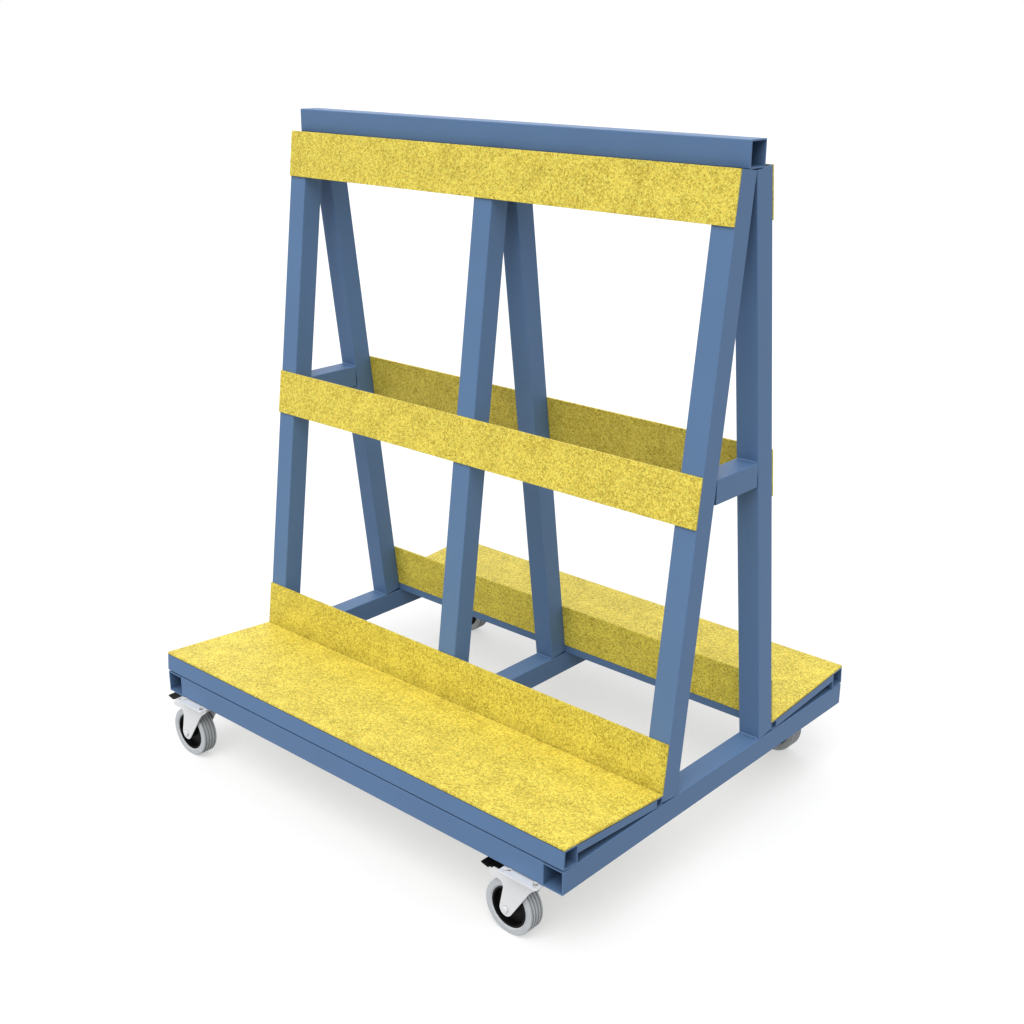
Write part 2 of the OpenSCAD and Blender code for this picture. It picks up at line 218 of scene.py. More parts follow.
def painted_crevice_shade(tree, reach, open_from, deepest=0.0, only_local=False):
    """A factor of painted shade: the deepest value in a narrow place and 1 in the open.

    It follows the share of the sky that nothing hides within reach of a point, where open_from
    counts as open, and a tenth as closed.
    """
    sky = add(tree, "ShaderNodeAmbientOcclusion", {"Distance": reach}, samples=8, only_local=only_local)
    return add(tree, "ShaderNodeMapRange", {
        "Value": sky.outputs["AO"], "From Min": 0.1, "From Max": open_from,
        "To Min": deepest}).outputs["Result"]


# Materials


def powder_coat(colour):
    """Polyester powder coat, sprayed and baked on mild steel tube.

    To the eye: an even satin blue, with the fine orange peel of baked powder and hardly any
    change of shade. Inside a tube and in a narrow corner, painted shade makes it darker.
    """
    peel, peel_height = 1.6 * MM, 0.02 * MM
    cloud = 180 * MM
    reach = 70 * MM
    material, tree, place = start_material("powder_coat_blue")
    clouds = add(tree, "ShaderNodeTexNoise", {"Vector": place, "Scale": 1 / cloud, "Detail": 3})
    shades = add(tree, "ShaderNodeMapRange",
                 {"Value": clouds.outputs["Fac"], "From Min": 0.3, "From Max": 0.7})
    tone = add(tree, "ShaderNodeMix", {
        "Factor": shades.outputs["Result"],
        COLOUR_A: shade(colour, 0.97), COLOUR_B: shade(colour, 1.03)}, data_type="RGBA")
    # Painted shade: a darker blue inside a tube and in narrow corners, where little sky is open within
    # reach
    inside_shaded = add(tree, "ShaderNodeMix", {
        "Factor": painted_crevice_shade(tree, reach, open_from=0.75),
        COLOUR_A: shade(colour, 0.58), COLOUR_B: tone.outputs[MIXED]}, data_type="RGBA")
    sheen = add(tree, "ShaderNodeMapRange", {
        "Value": clouds.outputs["Fac"], "To Min": 0.48, "To Max": 0.58})
    bumps = add(tree, "ShaderNodeTexNoise", {"Vector": place, "Scale": 1 / peel, "Detail": 1})
    bump = add(tree, "ShaderNodeBump",
               {"Height": bumps.outputs["Fac"], "Strength": 0.25, "Distance": peel_height})
    finish_material(tree, {
        "Base Color": inside_shaded.outputs[MIXED], "Roughness": sheen.outputs["Result"],
        "Normal": bump.outputs["Normal"], "IOR": 1.5, "Specular IOR Level": 0.25})
    return material


def chip_board(name, colour, chip, painted_back_share, painted_corner_share):
    """Pressed chip board, dyed yellow through and left raw.

    To the eye: small chips that lie every way, each of its own shade, with pale curled shavings and
    small dark pits between them, a low relief, and slow clouds of shade. The colour of the back of a
    strip, which faces the middle of the cart, is scaled by the given back share: painted shade below
    1 and painted light above 1. In a corner, painted shade darkens the board down to the given
    corner share.
    """
    corner_reach = 60 * MM
    relief_height = 0.3 * MM
    material, tree, place = start_material(name)
    chips, relief = pressed_chips(tree, place, colour, chip)
    # Painted shade and light: the back of a strip takes the back share of the front's colour
    back_shaded = add(tree, "ShaderNodeMix", {
        "Factor": strip_backs(tree, place), COLOUR_A: chips, COLOUR_B: grey(painted_back_share)},
        data_type="RGBA", blend_type="MULTIPLY")
    # Painted shade: the board darkens in corners, where little sky is open within reach
    dust_and_painted_shade = add(tree, "ShaderNodeMix", {
        "Factor": 1.0, COLOUR_A: back_shaded.outputs[MIXED],
        COLOUR_B: painted_crevice_shade(tree, corner_reach, open_from=0.9, deepest=painted_corner_share)},
        data_type="RGBA", blend_type="MULTIPLY")
    bump = add(tree, "ShaderNodeBump", {
        "Height": relief, "Strength": 0.5, "Distance": relief_height})
    finish_material(tree, {
        "Base Color": dust_and_painted_shade.outputs[MIXED], "Roughness": 0.62,
        "Normal": bump.outputs["Normal"], "IOR": 1.48})
    return material


def pressed_chips(tree, place, colour, chip):
    """The colour and the height of pressed chips, as two sockets.

    A chip is a cell with a shade of its own, to which a finer grain and slow clouds are added. A
    swirl bends the cells and the grain, so that no chip has straight sides.
    """
    cloud = 60 * MM
    bend = 2.5 * chip
    swirls_to_a_chip, grains_to_a_chip, curls_to_a_chip, pits_to_a_chip = 0.5, 1.6, 0.45, 0.9
    grain_weight, cloud_weight = 2.2, 1.2
    swirl = add(tree, "ShaderNodeTexNoise", {
        "Vector": place, "Scale": swirls_to_a_chip / chip, "Detail": 2})
    offset = add(tree, "ShaderNodeVectorMath", {
        0: swirl.outputs["Color"], 1: (0.5, 0.5, 0.5)}, operation="SUBTRACT")
    bent = add(tree, "ShaderNodeVectorMath", {
        0: offset.outputs["Vector"], 1: (bend, bend, bend), 2: place}, operation="MULTIPLY_ADD")
    cells = add(tree, "ShaderNodeTexVoronoi", {
        "Vector": bent.outputs["Vector"], "Scale": 1 / chip, "Randomness": 1}, feature="F1")
    cell = add(tree, "ShaderNodeSeparateColor", {"Color": cells.outputs["Color"]})
    grain = add(tree, "ShaderNodeTexNoise", {
        "Vector": bent.outputs["Vector"], "Scale": grains_to_a_chip / chip, "Detail": 3,
        "Roughness": 0.6})
    clouds = add(tree, "ShaderNodeTexNoise", {"Vector": place, "Scale": 1 / cloud, "Detail": 3})
    grained = add(tree, "ShaderNodeMath", {
        0: grain.outputs["Fac"], 1: grain_weight, 2: cell.outputs["Red"]}, operation="MULTIPLY_ADD")
    cloudy = add(tree, "ShaderNodeMath", {
        0: clouds.outputs["Fac"], 1: cloud_weight, 2: grained.outputs["Value"]},
        operation="MULTIPLY_ADD")
    shades = add(tree, "ShaderNodeMapRange", {
        "Value": cloudy.outputs["Value"], "From Min": 1.55, "From Max": 2.85})
    chipped = add(tree, "ShaderNodeMix", {
        "Factor": shades.outputs["Result"],
        COLOUR_A: shade(colour, 0.62, 0.6), COLOUR_B: shade(colour, 1.32, 1.35)}, data_type="RGBA")

    # A shaving lies where a noise crosses its middle value, which draws thin curled lines
    curls = add(tree, "ShaderNodeTexNoise", {
        "Vector": bent.outputs["Vector"], "Scale": curls_to_a_chip / chip})
    middle = add(tree, "ShaderNodeMath", {0: curls.outputs["Fac"], 1: 0.5}, operation="SUBTRACT")
    apart = add(tree, "ShaderNodeMath", {0: middle.outputs["Value"]}, operation="ABSOLUTE")
    shaving = add(tree, "ShaderNodeMapRange", {
        "Value": apart.outputs["Value"], "From Min": 0.006, "From Max": 0.045,
        "To Min": 0.7, "To Max": 0.0})
    shaved = add(tree, "ShaderNodeMix", {
        "Factor": shaving.outputs["Result"], COLOUR_A: chipped.outputs[MIXED],
        COLOUR_B: shade(colour, 1.5, 1.9)}, data_type="RGBA")
    holes = add(tree, "ShaderNodeTexNoise", {
        "Vector": place, "Scale": pits_to_a_chip / chip, "Detail": 1})
    pit = add(tree, "ShaderNodeMapRange", {
        "Value": holes.outputs["Fac"], "From Min": 0.63, "From Max": 0.72,
        "To Min": 0.0, "To Max": 0.75})
    pitted = add(tree, "ShaderNodeMix", {
        "Factor": pit.outputs["Result"], COLOUR_A: shaved.outputs[MIXED],
        COLOUR_B: shade(colour, 0.3, 0.7)}, data_type="RGBA")
    relief = add(tree, "ShaderNodeMath", {
        0: grained.outputs["Value"], 1: pit.outputs["Result"]}, operation="SUBTRACT")
    return pitted.outputs[MIXED], relief.outputs["Value"]


def strip_backs(tree, place):
    """1 on the back of a strip, whose normal points across the cart and not away from it; else 0."""
    across = add(tree, "ShaderNodeSeparateXYZ", {"Vector": place})
    normal = add(tree, "ShaderNodeSeparateXYZ", {"Vector": place.node.outputs["Normal"]})
    side = add(tree, "ShaderNodeMath", {0: across.outputs["Y"]}, operation="SIGN")
    outward = add(tree, "ShaderNodeMath", {
        0: side.outputs["Value"], 1: normal.outputs["Y"]}, operation="MULTIPLY")
    back = add(tree, "ShaderNodeMath", {0: outward.outputs["Value"], 1: -0.5}, operation="LESS_THAN")
    return back.outputs["Value"]


def bright_zinc(colour):
    """Bright zinc plate on pressed steel.

    To the eye: a pale, almost white satin metal with a soft sheen, as the barrel leaves it, with
    the faint grain of rolled sheet and a few dull patches. Painted shade darkens its slots and corners.
    """
    grain_size, grain_height = 0.9 * MM, 0.03 * MM
    patch = 14 * MM
    painted_shade_reach = 8 * MM
    material, tree, place = start_material("bright_zinc")
    patches = add(tree, "ShaderNodeTexNoise", {"Vector": place, "Scale": 1 / patch, "Detail": 3})
    dull = add(tree, "ShaderNodeMapRange", {
        "Value": patches.outputs["Fac"], "From Min": 0.3, "From Max": 0.7,
        "To Min": 0.42, "To Max": 0.56})
    tone = add(tree, "ShaderNodeMix", {
        "Factor": patches.outputs["Fac"],
        COLOUR_A: shade(colour, 0.95), COLOUR_B: shade(colour, 1.05)}, data_type="RGBA")
    # Painted shade: darker zinc in the slots and corners, where little sky is open within reach
    dust_and_painted_shade = add(tree, "ShaderNodeMix", {
        "Factor": painted_crevice_shade(tree, painted_shade_reach, open_from=0.8),
        COLOUR_A: shade(colour, 0.25, 0.85), COLOUR_B: tone.outputs[MIXED]}, data_type="RGBA")
    grain = add(tree, "ShaderNodeTexNoise", {"Vector": place, "Scale": 1 / grain_size, "Detail": 2})
    bump = add(tree, "ShaderNodeBump", {
        "Height": grain.outputs["Fac"], "Strength": 0.2, "Distance": grain_height})
    finish_material(tree, {
        "Base Color": dust_and_painted_shade.outputs[MIXED], "Metallic": 0.2,
        "Roughness": dull.outputs["Result"], "Normal": bump.outputs["Normal"]})
    return material


def grey_rubber(colour):
    """Thermoplastic rubber, moulded and slightly scuffed, that leaves no marks.

    To the eye: a dull pale grey with a fine moulded skin, dustier in patches, and painted shade
    that darkens the grooves of the tread.
    """
    skin, skin_height = 0.7 * MM, 0.05 * MM
    dust = 22 * MM
    groove_shade_reach = 4 * MM
    material, tree, place = start_material("grey_rubber")
    dust_and_painted_shade = add(tree, "ShaderNodeTexNoise", {"Vector": place, "Scale": 1 / dust, "Detail": 4})
    tone = add(tree, "ShaderNodeMix", {
        "Factor": dust_and_painted_shade.outputs["Fac"],
        COLOUR_A: shade(colour, 0.9), COLOUR_B: shade(colour, 1.1)}, data_type="RGBA")
    # Painted shade: a darker grey in the grooves of the tread, where little of the tyre's own sky is open
    groove_shaded = add(tree, "ShaderNodeMix", {
        "Factor": painted_crevice_shade(tree, groove_shade_reach, open_from=0.9, only_local=True),
        COLOUR_A: shade(colour, 0.2, 0.9), COLOUR_B: tone.outputs[MIXED]}, data_type="RGBA")
    dull = add(tree, "ShaderNodeMapRange", {
        "Value": dust_and_painted_shade.outputs["Fac"], "To Min": 0.55, "To Max": 0.75})
    pores = add(tree, "ShaderNodeTexNoise", {"Vector": place, "Scale": 1 / skin, "Detail": 2})
    bump = add(tree, "ShaderNodeBump", {
        "Height": pores.outputs["Fac"], "Strength": 0.3, "Distance": skin_height})
    finish_material(tree, {
        "Base Color": groove_shaded.outputs[MIXED], "Roughness": dull.outputs["Result"],
        "Normal": bump.outputs["Normal"], "IOR": 1.52})
    return material


def black_polypropylene(colour):
    """Polypropylene, moulded with a fine spark-eroded texture.

    To the eye: a deep matt black, a little greyer where it is scuffed.
    """
    texture, texture_height = 0.5 * MM, 0.04 * MM
    scuff = 9 * MM
    material, tree, place = start_material("black_polypropylene")
    scuffs = add(tree, "ShaderNodeTexNoise", {"Vector": place, "Scale": 1 / scuff, "Detail": 4})
    tone = add(tree, "ShaderNodeMix", {
        "Factor": scuffs.outputs["Fac"],
        COLOUR_A: shade(colour, 0.8), COLOUR_B: shade(colour, 1.25)}, data_type="RGBA")
    dull = add(tree, "ShaderNodeMapRange", {
        "Value": scuffs.outputs["Fac"], "To Min": 0.5, "To Max": 0.68})
    pits = add(tree, "ShaderNodeTexNoise", {"Vector": place, "Scale": 1 / texture, "Detail": 2})
    bump = add(tree, "ShaderNodeBump", {
        "Height": pits.outputs["Fac"], "Strength": 0.3, "Distance": texture_height})
    finish_material(tree, {
        "Base Color": tone.outputs[MIXED], "Roughness": dull.outputs["Result"],
        "Normal": bump.outputs["Normal"], "IOR": 1.49, "Specular IOR Level": 0.14})
    return material


def sealant_and_groove_shade(colour):
    """Polyurethane adhesive, pressed out of a joint and wiped.

    To the eye: a thin matt black line, a little lumpy along its length. Its black also stands in for the
    shade in the groove under a board's edge, as painted shade.
    """
    lump = 12 * MM
    smear, smear_height = 2 * MM, 0.1 * MM
    material, tree, place = start_material("sealant_and_groove_shade")
    lumps = add(tree, "ShaderNodeTexNoise", {"Vector": place, "Scale": 1 / lump, "Detail": 3})
    tone = add(tree, "ShaderNodeMix", {
        "Factor": lumps.outputs["Fac"],
        COLOUR_A: shade(colour, 0.8), COLOUR_B: shade(colour, 1.6)}, data_type="RGBA")
    dull = add(tree, "ShaderNodeMapRange", {
        "Value": lumps.outputs["Fac"], "To Min": 0.4, "To Max": 0.65})
    smears = add(tree, "ShaderNodeTexNoise", {"Vector": place, "Scale": 1 / smear, "Detail": 2})
    bump = add(tree, "ShaderNodeBump", {
        "Height": smears.outputs["Fac"], "Strength": 0.4, "Distance": smear_height})
    finish_material(tree, {
        "Base Color": tone.outputs[MIXED], "Roughness": dull.outputs["Result"],
        "Normal": bump.outputs["Normal"], "IOR": 1.5})
    return material


def paint(material, nodes):
    """Gives CAD nodes, picked by the starts of their names, one material all over."""
    picked = [name for name in frame["nodes"] if name.startswith(nodes)]
    if not picked:
        raise RuntimeError(f"no CAD node starts with {nodes}")
    for name in picked:
        mesh = frame["nodes"][name].data
        mesh.materials.clear()
        mesh.materials.append(material)


# Surfaces


def surface(name, grids, material, body):
    """One piece from grids of points whose columns close on themselves and whose ends are poles."""
    points, faces, first = [], [], 0
    for grid in grids:
        rows, columns = grid.shape[:2]
        index = first + np.arange(rows * columns).reshape(rows, columns)
        turned = np.roll(index, -1, axis=1)
        quads = np.stack([index[:-1], turned[:-1], turned[1:], index[1:]], axis=-1)
        points.append(grid.reshape(-1, 3))
        faces.append(quads.reshape(-1, 4))
        first += rows * columns
    mesh = bpy.data.meshes.new(name)
    mesh.from_pydata(np.concatenate(points).tolist(), [], np.concatenate(faces).tolist())
    shape = bmesh.new()
    shape.from_mesh(mesh)
    bmesh.ops.remove_doubles(shape, verts=shape.verts, dist=MERGE)
    bmesh.ops.dissolve_degenerate(shape, edges=shape.edges, dist=MERGE)
    bmesh.ops.recalc_face_normals(shape, faces=shape.faces)
    shape.to_mesh(mesh)
    shape.free()
    mesh.materials.append(material)
    mesh.polygons.foreach_set("use_smooth", np.ones(len(mesh.polygons), bool))
    piece = bpy.data.objects.new(name, mesh)
    bpy.context.scene.collection.objects.link(piece)
    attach(piece, body)


def bead(start, end, one_face, other_face, leg, ripple):
    """Points of a fillet weld from start to end.

    one_face and other_face point from the seam along the two faces. Round the bead, the section
    is the seam's own point and then the points reach * (one * cos(u)**n + other * sin(u)**n) for
    u from 0 to a quarter turn, where n is the flatness: 2 would be flat and 1 round. Along the
    bead, the reach swells by a sine wave for each ripple, and it falls to nothing at both ends.
    """
    flatness = 1.5
    swell_share = 0.07
    fewest_rows, rows_to_a_ripple, points_round = 12, 5, 7
    start, end = np.array(start), np.array(end)
    length = np.linalg.norm(end - start)
    rows = max(fewest_rows, int(rows_to_a_ripple * length / ripple))
    along = np.linspace(0, 1, rows)
    ends = np.clip(1 - np.abs(2 * along - 1) ** (length / leg), 0, 1) ** 0.5
    reach = leg * ends * (1 + swell_share * np.sin(2 * math.pi * along * length / ripple))
    turn = np.linspace(0, math.pi / 2, points_round)
    fan = (np.cos(turn)[:, None] ** flatness * np.array(one_face)
           + np.sin(turn)[:, None] ** flatness * np.array(other_face))
    section = np.concatenate([np.zeros((1, 3)), fan])
    seam = start + along[:, None] * (end - start)
    return seam[:, None, :] + reach[:, None, None] * section[None, :, :]


def soften(nodes, radius):
    """Rounds the edges of CAD nodes, picked by the starts of their names."""
    for body, names in frame["record"]["behaviour"]["bodies"].items():
        for name in names:
            if name.startswith(nodes):
                softened(name, radius, body)


def softened(node, radius, body):
    """Puts a copy with rounded edges in the place of a CAD node: its triangles joined and bevelled."""
    flat_within, sharp_beyond = math.radians(1), math.radians(40)
    mesh = frame["nodes"][node].data.copy()
    shape = bmesh.new()
    shape.from_mesh(mesh)
    bmesh.ops.remove_doubles(shape, verts=shape.verts, dist=MERGE)
    bmesh.ops.dissolve_limit(
        shape, angle_limit=flat_within, verts=shape.verts, edges=shape.edges)
    bmesh.ops.recalc_face_normals(shape, faces=shape.faces)
    shape.to_mesh(mesh)
    shape.free()
    piece = bpy.data.objects.new(node + "_softened", mesh)
    bpy.context.scene.collection.objects.link(piece)
    rounding = piece.modifiers.new("rounding", "BEVEL")
    rounding.width, rounding.segments = radius, 3
    rounding.limit_method, rounding.angle_limit = "ANGLE", sharp_beyond
    rounding.use_clamp_overlap = False
    rounding.harden_normals = True
    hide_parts(node)
    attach(piece, body)


# Seams, each as its start, its end and the directions of its two faces


def slope_of(node):
    """How far a tube is tilted: the rise of the largest face that looks to the front."""
    looks_to_the_front = -0.9
    mesh = frame["nodes"][node].data
    normals, areas = np.empty(3 * len(mesh.polygons)), np.empty(len(mesh.polygons))
    mesh.polygons.foreach_get("normal", normals)
    mesh.polygons.foreach_get("area", areas)
    normals = normals.reshape(-1, 3)
    widest = np.where(normals[:, 1] < looks_to_the_front, areas, 0).argmax()
    return math.atan2(normals[widest, 2], -normals[widest, 1])


def facing(out, y, z):
    """A direction, given for the front side, turned for the front or the back."""
    return (0, -out * y, z)


def leg_seams(stop):
    """Along the inner edge of each leg's foot, between the leg and the base's top."""
    seams = []
    lean = slope_of("leg_front_left")
    for side in ("front", "back"):
        out = WAY_OUT[side]
        for end in ENDS:
            low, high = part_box(f"leg_{side}_{end}")
            foot = max(abs(low.y), abs(high.y)) - (high.x - low.x) * math.cos(lean)
            seams.append(((low.x + stop, out * foot, low.z), (high.x - stop, out * foot, low.z),
                          facing(out, 1, 0), facing(out, math.sin(lean), math.cos(lean))))
    return seams


def crossbar_seams(stop):
    """Along the upper edge of each end of a crossbar, between its top and the leg."""
    seams = []
    lean = slope_of("leg_front_left")
    for end in ("left", "right"):
        low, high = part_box("crossbar_" + end)
        for out, y in ((-1, low.y), (1, high.y)):
            seams.append(((low.x + stop, y, high.z), (high.x - stop, y, high.z),
                          facing(out, 1, 0), facing(out, math.sin(lean), math.cos(lean))))
    return seams


def base_seams(stop):
    """Up the inner corners of the base, between the long tubes and the tubes across."""
    seams = []
    for side in ("front", "back"):
        long_low, long_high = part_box("base_" + side)
        out = WAY_OUT[side]
        wall = long_high.y if out < 0 else long_low.y
        for end in ENDS:
            low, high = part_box("base_" + end)
            corners = [(high.x, 1)] if end == "left" else [(low.x, -1)]
            if end == "middle":
                corners.append((high.x, 1))
            for x, along in corners:
                seams.append(((x, wall, low.z + stop), (x, wall, high.z - stop),
                              (along, 0, 0), facing(out, 1, 0)))
    return seams


class TrayLines:
    """Points and directions of a tray, read from its tubes; each point is at x zero."""

    def __init__(self, side):
        out = WAY_OUT[side]
        slope = slope_of("tray_outer_front")
        spread = math.cos(slope) + math.sin(slope)
        outer_low, outer_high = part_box("tray_outer_" + side)
        inner_low, inner_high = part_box("tray_inner_" + side)
        near = min(abs(outer_low.y), abs(outer_high.y))
        far = max(abs(inner_low.y), abs(inner_high.y))
        self.left, self.right = outer_low.x, outer_high.x
        self.tube = (outer_high.z - outer_low.z) / spread
        self.rail = (inner_high.z - inner_low.z) / spread
        self.inwards = Vector(facing(out, math.cos(slope), -math.sin(slope)))
        self.up = Vector(facing(out, math.sin(slope), math.cos(slope)))
        self.outer_top = Vector((0, out * near, outer_low.z + self.tube * math.cos(slope)))
        self.outer_foot = self.outer_top - self.up * self.tube
        self.inner_foot = Vector((0, out * far, inner_low.z + self.rail * math.sin(slope)))
        self.inner_top = self.inner_foot + self.up * self.rail


def tray_seams(stop, stitch, count):
    """Stitches under each tray's outer tube, and up the inner corners of its end rails."""
    seams = []
    for side in ("front", "back"):
        tray = TrayLines(side)
        bed_low, bed_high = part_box("base_" + side)
        for middle in np.linspace(bed_low.x + stitch, bed_high.x - stitch, count):
            half = Vector((stitch / 2, 0, 0))
            seam = tray.outer_foot + Vector((middle, 0, 0))
            seams.append((seam - half, seam + half, facing(WAY_OUT[side], 1, 0), tray.up))
        for x, along in ((tray.left + tray.rail, 1), (tray.right - tray.rail, -1)):
            for top, away in ((tray.outer_top, tray.inwards), (tray.inner_top, -tray.inwards)):
                corner = top + Vector((x, 0, 0))
                seams.append((corner - tray.up * (tray.rail - stop), corner - tray.up * stop,
                              (along, 0, 0), away))
    return seams


def plate_seams(stop):
    """Along the inner side of the long tubes, between each tube and a caster's top plate.

    The beads stay three stops clear of the plates' rounded corners.
    """
    seams = []
    for side in ("front", "back"):
        out = WAY_OUT[side]
        long_low, long_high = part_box("base_" + side)
        wall = long_high.y if out < 0 else long_low.y
        for end in ("left", "right"):
            low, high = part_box(f"plate_{side}_{end}")
            start = max(low.x + 3 * stop, long_low.x)
            finish = min(high.x - 3 * stop, long_high.x)
            seams.append(((start, wall, high.z), (finish, wall, high.z),
                          facing(out, 1, 0), (0, 0, 1)))
    return seams


def groove_filling(start, end, inwards, up, corner, recess):
    """Points of the adhesive in the groove between a board and a tube's rounded edge.

    start and end lie on the board's lower edge, over the tube's outer face. The section follows the
    tube's rounding: for u from 0 to the angle where it meets the wiped face, the points are
    corner * (1 - sin(u)) inwards and corner * (1 - cos(u)) down. The run is straight, and each end
    closes on the section's middle.
    """
    points_round = 8
    start, end = np.array(start), np.array(end)
    turn = np.linspace(0, math.asin(1 - recess / corner), points_round)
    section = (corner * (1 - np.sin(turn))[:, None] * np.array(inwards)
               - corner * (1 - np.cos(turn))[:, None] * np.array(up))
    section = np.concatenate([section, recess * np.array(inwards)[None, :]])
    middle = np.repeat(section.mean(axis=0)[None, :], len(section), axis=0)
    return np.stack([start + middle, start + section, end + section, end + middle])


def board_grooves(corner, recess):
    """The grooves under the outer edge and the two ends of each tray board."""
    grooves = []
    for side in ("front", "back"):
        tray = TrayLines(side)
        edge = tray.outer_top - tray.inwards * tray.tube
        left, right = Vector((tray.left, 0, 0)), Vector((tray.right, 0, 0))
        grooves.append(groove_filling(
            edge + left, edge + right, tray.inwards, tray.up, corner, recess))
        for end, inwards in ((left, Vector((1, 0, 0))), (right, Vector((-1, 0, 0)))):
            grooves.append(groove_filling(
                tray.outer_top + end, tray.inner_top + end, inwards, tray.up, corner, recess))
    return grooves


# Steps that dress the cart


class CART_OT_coat_steel(bpy.types.Operator):
    """Coats the steel tubes blue"""

    bl_idname = "cart.coat_steel"
    bl_label = "Coat the steel"

    def execute(self, context):
        coat = powder_coat(context.scene.cart_finishes.coat)
        paint(coat, ("base_", "leg_", "crossbar_", "ridge", "tray_outer", "tray_inner", "tray_rails"))
        return {"FINISHED"}


class CART_OT_weld_frame(bpy.types.Operator):
    """Lays the fillet welds of the frame, the trays and the casters' plates, under the same coat"""

    bl_idname = "cart.weld_frame"
    bl_label = "Weld the frame"

    def execute(self, context):
        welds = context.scene.cart_welds
        seams = (leg_seams(welds.stop) + crossbar_seams(welds.stop) + base_seams(welds.stop)
                 + tray_seams(welds.stop, welds.stitch, welds.stitches) + plate_seams(welds.stop))
        beads = [bead(*seam, welds.leg, welds.ripple) for seam in seams]
        surface("weld_beads", beads, bpy.data.materials["powder_coat_blue"], "cart")
        return {"FINISHED"}


class CART_OT_line_boards(bpy.types.Operator):
    """Gives the tray boards and the lean strips their pressed chips and their softened edges"""

    bl_idname = "cart.line_boards"
    bl_label = "Finish the lining"

    def execute(self, context):
        finishes = context.scene.cart_finishes
        # Each copy of the board scales its strips' backs (painted shade below 1, painted light above 1)
        # and darkens its corners by painted shade
        usual = chip_board("chip_board_yellow", finishes.board, finishes.chip,
                           painted_back_share=0.76, painted_corner_share=0.95)
        # Painted shade: the low strips get a darker copy of the board, for their corner with the tray
        # boards
        shaded_low = chip_board("chip_board_shaded_yellow", finishes.shaded_low_board, finishes.chip,
                            painted_back_share=1.25, painted_corner_share=0.55)
        paint(usual, ("tray_board", "strip_middle", "strip_top"))
        paint(shaded_low, ("strip_bottom",))
        soften(("tray_board", "strip_"), finishes.board_edge)
        return {"FINISHED"}


class CART_OT_bed_boards(bpy.types.Operator):
    """Fills the grooves under the tray boards' edges with the adhesive that holds the boards; its black
    is also painted shade of the grooves
    """

    bl_idname = "cart.bed_boards"
    bl_label = "Bed the tray boards"

    def execute(self, context):
        finishes = context.scene.cart_finishes
        # The adhesive's black is partly painted shade: it stands where the groove under a board's edge is
        # in shadow
        surface("board_adhesive_and_groove_shade", board_grooves(finishes.tube_corner, finishes.wiped),
                sealant_and_groove_shade(finishes.plastic), "cart")
        return {"FINISHED"}


class CART_OT_finish_casters(bpy.types.Operator):
    """Gives the casters their zinc, rubber and plastic"""

    bl_idname = "cart.finish_casters"
    bl_label = "Finish the casters"

    def execute(self, context):
        finishes = context.scene.cart_finishes
        paint(bright_zinc(finishes.zinc),
              ("plate_", "fork_", "axle_", "sleeve_", "king_pins", "race_balls"))
        paint(grey_rubber(finishes.tyre), ("tyre_",))
        paint(black_polypropylene(finishes.plastic), ("wheel_centre_", "pedal_"))
        soften(("plate_", "fork_"), finishes.pressed_edge)
        soften(("pedal_",), finishes.pressed_edge)
        return {"FINISHED"}


class CART_OT_light_studio(bpy.types.Operator):
    """Sets up the floor, the light and the camera"""

    bl_idname = "cart.light_studio"
    bl_label = "Set up the studio"

    def execute(self, context):
        studio = context.scene.cart_studio
        make_floor()
        make_sky(studio.sky)
        sun("key", KEY_FROM, studio.key, KEY_WIDTH)
        sun("fill", FILL_FROM, studio.fill, FILL_WIDTH)
        make_camera(context)
        return {"FINISHED"}


# The studio


def make_floor():
    """A wide flat floor: a grid of two parameters over a square at height zero.

    Seen by the camera or in a gloss it gives half of its white by itself, so that the cart's shadow
    is soft and pale; to all other rays it is a grey that throws little light up.
    """
    half, count = 40.0, 5
    across = np.linspace(-half, half, count)
    x, y = np.meshgrid(across, across)
    points = np.stack([x, y, np.zeros_like(x)], axis=-1).reshape(-1, 3)
    index = np.arange(count * count).reshape(count, count)
    faces = np.stack([index[:-1, :-1], index[:-1, 1:], index[1:, 1:], index[1:, :-1]], axis=-1)
    mesh = bpy.data.meshes.new("floor")
    mesh.from_pydata(points.tolist(), [], faces.reshape(-1, 4).tolist())
    floor = bpy.data.objects.new("floor", mesh)
    bpy.context.scene.collection.objects.link(floor)
    material, tree, _ = start_material("studio_floor")
    seen = seen_rays(tree)
    colour = add(tree, "ShaderNodeMix", {
        "Factor": seen, COLOUR_A: grey(0.3), COLOUR_B: grey(0.5)}, data_type="RGBA")
    glow = add(tree, "ShaderNodeMath", {0: seen, 1: 0.5}, operation="MULTIPLY")
    finish_material(tree, {
        "Base Color": colour.outputs[MIXED], "Roughness": 0.9,
        "Emission Color": grey(1), "Emission Strength": glow.outputs["Value"]})
    mesh.materials.append(material)


def seen_rays(tree):
    """1 for a ray from the camera, off a glossy surface or through glass, and 0 for all others."""
    path = add(tree, "ShaderNodeLightPath")
    camera_or_glossy = add(tree, "ShaderNodeMath", {
        0: path.outputs["Is Camera Ray"], 1: path.outputs["Is Glossy Ray"]}, operation="MAXIMUM")
    seen = add(tree, "ShaderNodeMath", {
        0: camera_or_glossy.outputs["Value"], 1: path.outputs["Is Transmission Ray"]},
        operation="MAXIMUM")
    return seen.outputs["Value"]


def make_sky(level):
    """An even white sky, at full white where it is seen and at its own level where it lights."""
    world = bpy.data.worlds.new("studio")
    world.use_nodes = True
    tree = world.node_tree
    tree.nodes.clear()
    light = add(tree, "ShaderNodeBackground", {"Color": grey(1), "Strength": level})
    white = add(tree, "ShaderNodeBackground", {"Color": grey(1), "Strength": 1.0})
    mix = add(tree, "ShaderNodeMixShader", {
        0: seen_rays(tree), 1: light.outputs["Background"], 2: white.outputs["Background"]})
    add(tree, "ShaderNodeOutputWorld", {"Surface": mix.outputs["Shader"]})
    bpy.context.scene.world = world


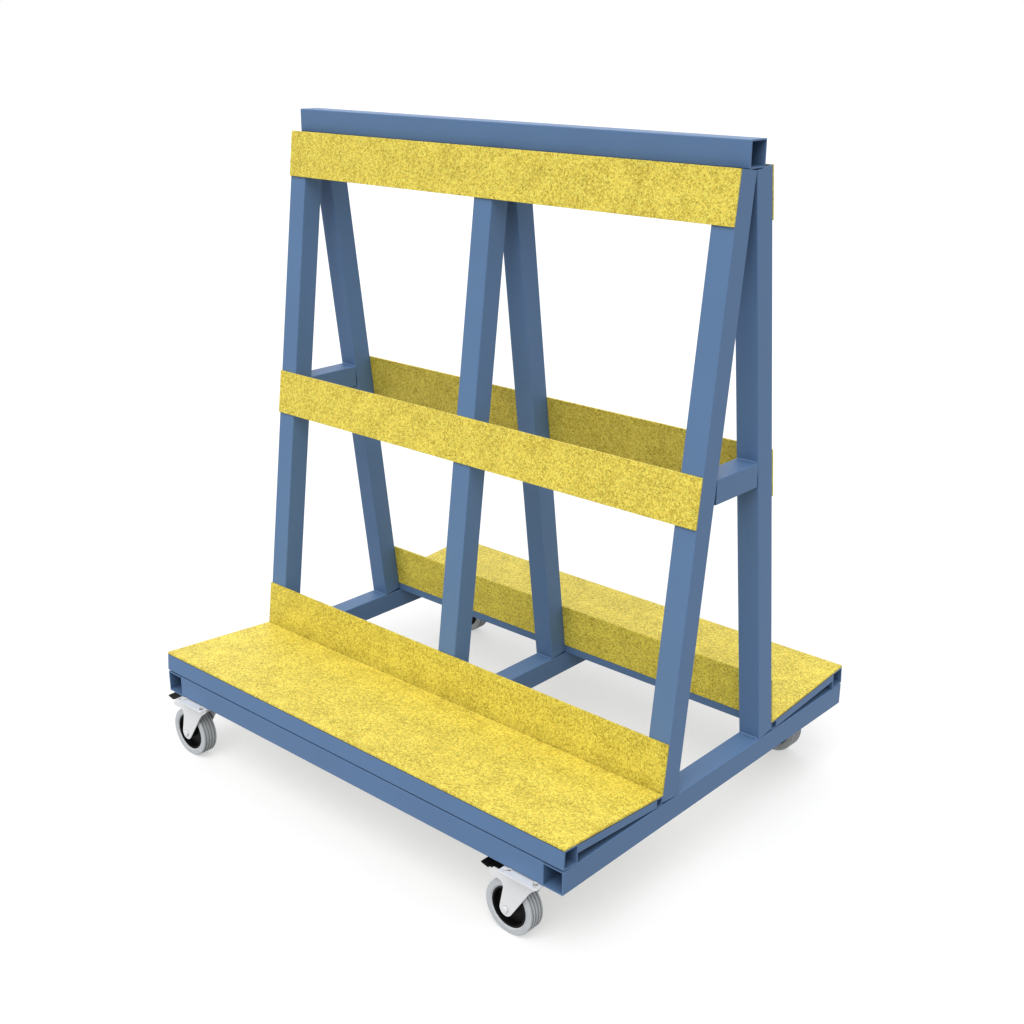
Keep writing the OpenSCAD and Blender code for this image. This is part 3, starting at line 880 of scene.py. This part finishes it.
def aimed(place, aim, roll=0.0):
    """The matrix of a camera or lamp at place that looks at aim."""
    ahead = (aim - place).normalized()
    turn = ahead.to_track_quat("-Z", "Y").to_matrix().to_4x4()
    return Matrix.Translation(place) @ turn @ Matrix.Rotation(roll, 4, "Z")


def sun(name, towards, level, spread):
    """A broad distant lamp: a level of 1 shows a colour as written on a face turned to it."""
    lamp = bpy.data.lights.new(name, "SUN")
    lamp.energy = level * math.pi
    lamp.angle = spread
    holder = bpy.data.objects.new(name, lamp)
    holder.matrix_world = aimed(towards.normalized() * LAMP_AWAY, Vector((0, 0, 0)))
    bpy.context.scene.collection.objects.link(holder)


def make_camera(context):
    """The camera where the photograph was taken from."""
    data = bpy.data.cameras.new("camera")
    data.sensor_width = SENSOR_WIDTH
    data.lens = SENSOR_WIDTH * FOCAL_PIXELS / IMAGE_SIDE
    data.clip_start, data.clip_end = NEAREST, FURTHEST
    camera = bpy.data.objects.new("camera", data)
    camera.matrix_world = aimed(CAMERA_AT, CAMERA_AIM, CAMERA_ROLL)
    context.scene.collection.objects.link(camera)
    context.scene.camera = camera
    context.scene.view_settings.view_transform = "Standard"


# The add-on


class CART_PT_panel(bpy.types.Panel):
    """Lists the steps that dress the cart"""

    bl_label = "Sheet goods cart"
    bl_idname = "CART_PT_panel"
    bl_space_type = "VIEW_3D"
    bl_region_type = "UI"
    bl_category = "Cart"

    def draw(self, context):
        for group in (context.scene.cart_finishes, context.scene.cart_welds, context.scene.cart_studio):
            for name in group.bl_rna.properties.keys():
                if name not in ("rna_type", "name"):
                    self.layout.prop(group, name)
        for step in STEPS:
            self.layout.operator(step.bl_idname)


GROUPS = (CartFinishes, CartWelds, CartStudio)
STEPS = (CART_OT_coat_steel, CART_OT_weld_frame, CART_OT_line_boards, CART_OT_bed_boards,
         CART_OT_finish_casters, CART_OT_light_studio)


def register():
    for kind in GROUPS + STEPS + (CART_PT_panel,):
        bpy.utils.register_class(kind)
    bpy.types.Scene.cart_finishes = bpy.props.PointerProperty(type=CartFinishes)
    bpy.types.Scene.cart_welds = bpy.props.PointerProperty(type=CartWelds)
    bpy.types.Scene.cart_studio = bpy.props.PointerProperty(type=CartStudio)


def unregister():
    del bpy.types.Scene.cart_studio
    del bpy.types.Scene.cart_welds
    del bpy.types.Scene.cart_finishes
    for kind in reversed(GROUPS + STEPS + (CART_PT_panel,)):
        bpy.utils.unregister_class(kind)


def main():
    register()
    bpy.ops.cart.coat_steel()
    bpy.ops.cart.weld_frame()
    bpy.ops.cart.line_boards()
    bpy.ops.cart.bed_boards()
    bpy.ops.cart.finish_casters()
    bpy.ops.cart.light_studio()


if __name__ == "__main__":
    main()
